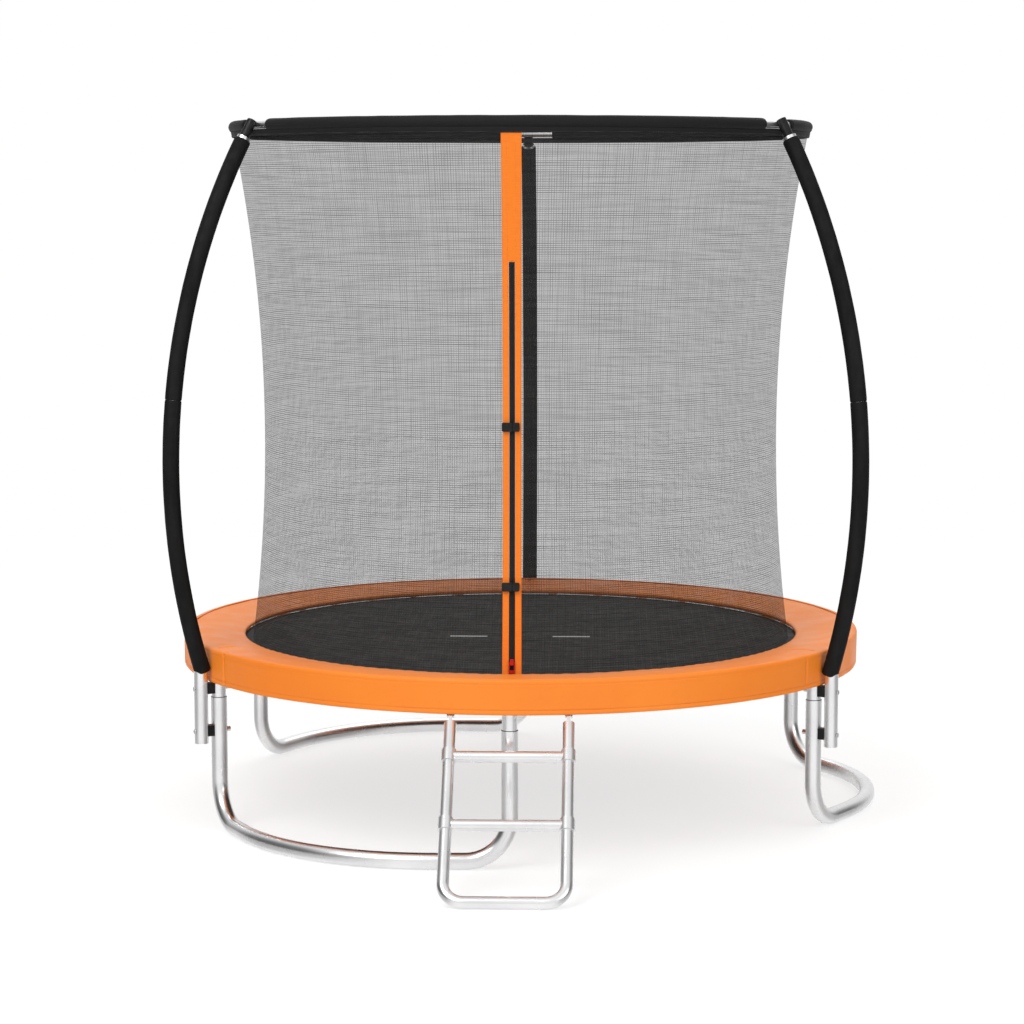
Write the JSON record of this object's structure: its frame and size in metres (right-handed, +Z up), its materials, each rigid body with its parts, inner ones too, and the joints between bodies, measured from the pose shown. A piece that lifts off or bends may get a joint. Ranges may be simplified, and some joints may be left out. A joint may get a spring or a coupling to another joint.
{
  "type": "trampoline",
  "caption": "Round garden trampoline with a waisted inner safety net on three bowed foam-covered poles, an orange spring pad, a zip door and a step ladder.",
  "frame": {"origin": "on the floor, below the centre of the jump mat", "axes": "+Z up, -Y towards the door and ladder, +X to the right of someone facing the door from outside"},
  "size_m": [1.8988, 2.3449, 1.8502],
  "materials": {
    "galvanised_tube": "zinc-plated tube, satin",
    "zinc_hardware": "bright zinc",
    "black_plastic": "moulded, fine grain",
    "foam_sleeve": "closed-cell foam sleeve with a matt skin",
    "ring_sleeve": "black coated fabric sleeve",
    "mat_fabric": "woven jump mat",
    "webbing": "woven webbing",
    "pad_cover": "orange coated fabric, slight sheen",
    "net_mesh": "open knitted mesh",
    "door_band": "orange webbing band",
    "zip_tape": "black zip tape",
    "red_zip": "lacquered slider"
  },
  "bodies": {
    "frame": {"buckle_1_socket": "black_plastic", "buckle_2_socket": "black_plastic", "door_band": "door_band", "enclosure_net": "net_mesh", "frame_rail_1": "galvanised_tube", "frame_rail_2": "galvanised_tube", "frame_rail_3": "galvanised_tube", "frame_rail_4": "galvanised_tube", "frame_rail_5": "galvanised_tube", "frame_rail_6": "galvanised_tube", "frame_sockets": "galvanised_tube", "ladder_brackets": "galvanised_tube", "ladder_pins": "zinc_hardware", "leg_1_ground_bar": "galvanised_tube", "leg_1_upright_a": "galvanised_tube", "leg_1_upright_b": "galvanised_tube", "leg_2_ground_bar": "galvanised_tube", "leg_2_upright_a": "galvanised_tube", "leg_2_upright_b": "galvanised_tube", "leg_3_ground_bar": "galvanised_tube", "leg_3_upright_a": "galvanised_tube", "leg_3_upright_b": "galvanised_tube", "pad_skirt": "pad_cover", "pole_1_lower_foam": "foam_sleeve", "pole_1_lower_tube": "galvanised_tube", "pole_1_upper_foam": "foam_sleeve", "pole_1_upper_tube": "galvanised_tube", "pole_2_lower_foam": "foam_sleeve", "pole_2_lower_tube": "galvanised_tube", "pole_2_upper_foam": "foam_sleeve", "pole_2_upper_tube": "galvanised_tube", "pole_3_lower_foam": "foam_sleeve", "pole_3_lower_tube": "galvanised_tube", "pole_3_upper_foam": "foam_sleeve", "pole_3_upper_tube": "galvanised_tube", "pole_bolts": "zinc_hardware", "pole_caps": "black_plastic", "pole_nuts": "zinc_hardware", "pole_spacers": "black_plastic", "spring_pad": "pad_cover", "springs": "zinc_hardware", "top_ring_sleeve": "ring_sleeve", "top_ring_tube": "galvanised_tube", "zip_tape": "zip_tape"},
    "mat": {"jump_mat": "mat_fabric", "mat_border": "webbing", "spring_links": "zinc_hardware"},
    "ladder": {"ladder_frame": "galvanised_tube", "ladder_lugs": "galvanised_tube", "ladder_rung_lower": "galvanised_tube", "ladder_rung_upper": "galvanised_tube"},
    "zip_slider": {"zip_slider": "red_zip"},
    "zip_pull": {"zip_pull": "red_zip"},
    "buckle_1_tongue": {"buckle_1_tongue": "black_plastic"},
    "buckle_2_tongue": {"buckle_2_tongue": "black_plastic"}
  },
  "joints": [
    {"name": "mat_bounce", "type": "slide", "parent": "frame", "child": "mat", "axis": [0, 0, 1], "range_m": [-0.1, 0], "stiffness_N_per_m": 8000, "springref_m": 0.006, "deforming": ["springs"]},
    {"name": "ladder_swing", "type": "hinge", "parent": "frame", "child": "ladder", "pos_m": [0, -0.88419, 0.392], "axis": [-1, 0, 0], "range_deg": [0, 4]},
    {"name": "zip_travel", "type": "hinge", "parent": "frame", "child": "zip_slider", "pos_m": [0, -4.914, 1.01], "axis": [1, 0, 0], "range_deg": [0, 2.28]},
    {"name": "pull_swing", "type": "hinge", "parent": "zip_slider", "child": "zip_pull", "pos_m": [0, -0.73674, 0.49005], "axis": [-1, 0, 0], "range_deg": [0, 100]},
    {"name": "buckle_1_release", "type": "slide", "parent": "frame", "child": "buckle_1_tongue", "axis": [1, 0, 0], "range_m": [0, 0.02]},
    {"name": "buckle_2_release", "type": "slide", "parent": "frame", "child": "buckle_2_tongue", "axis": [1, 0, 0], "range_m": [0, 0.02]}
  ]
}
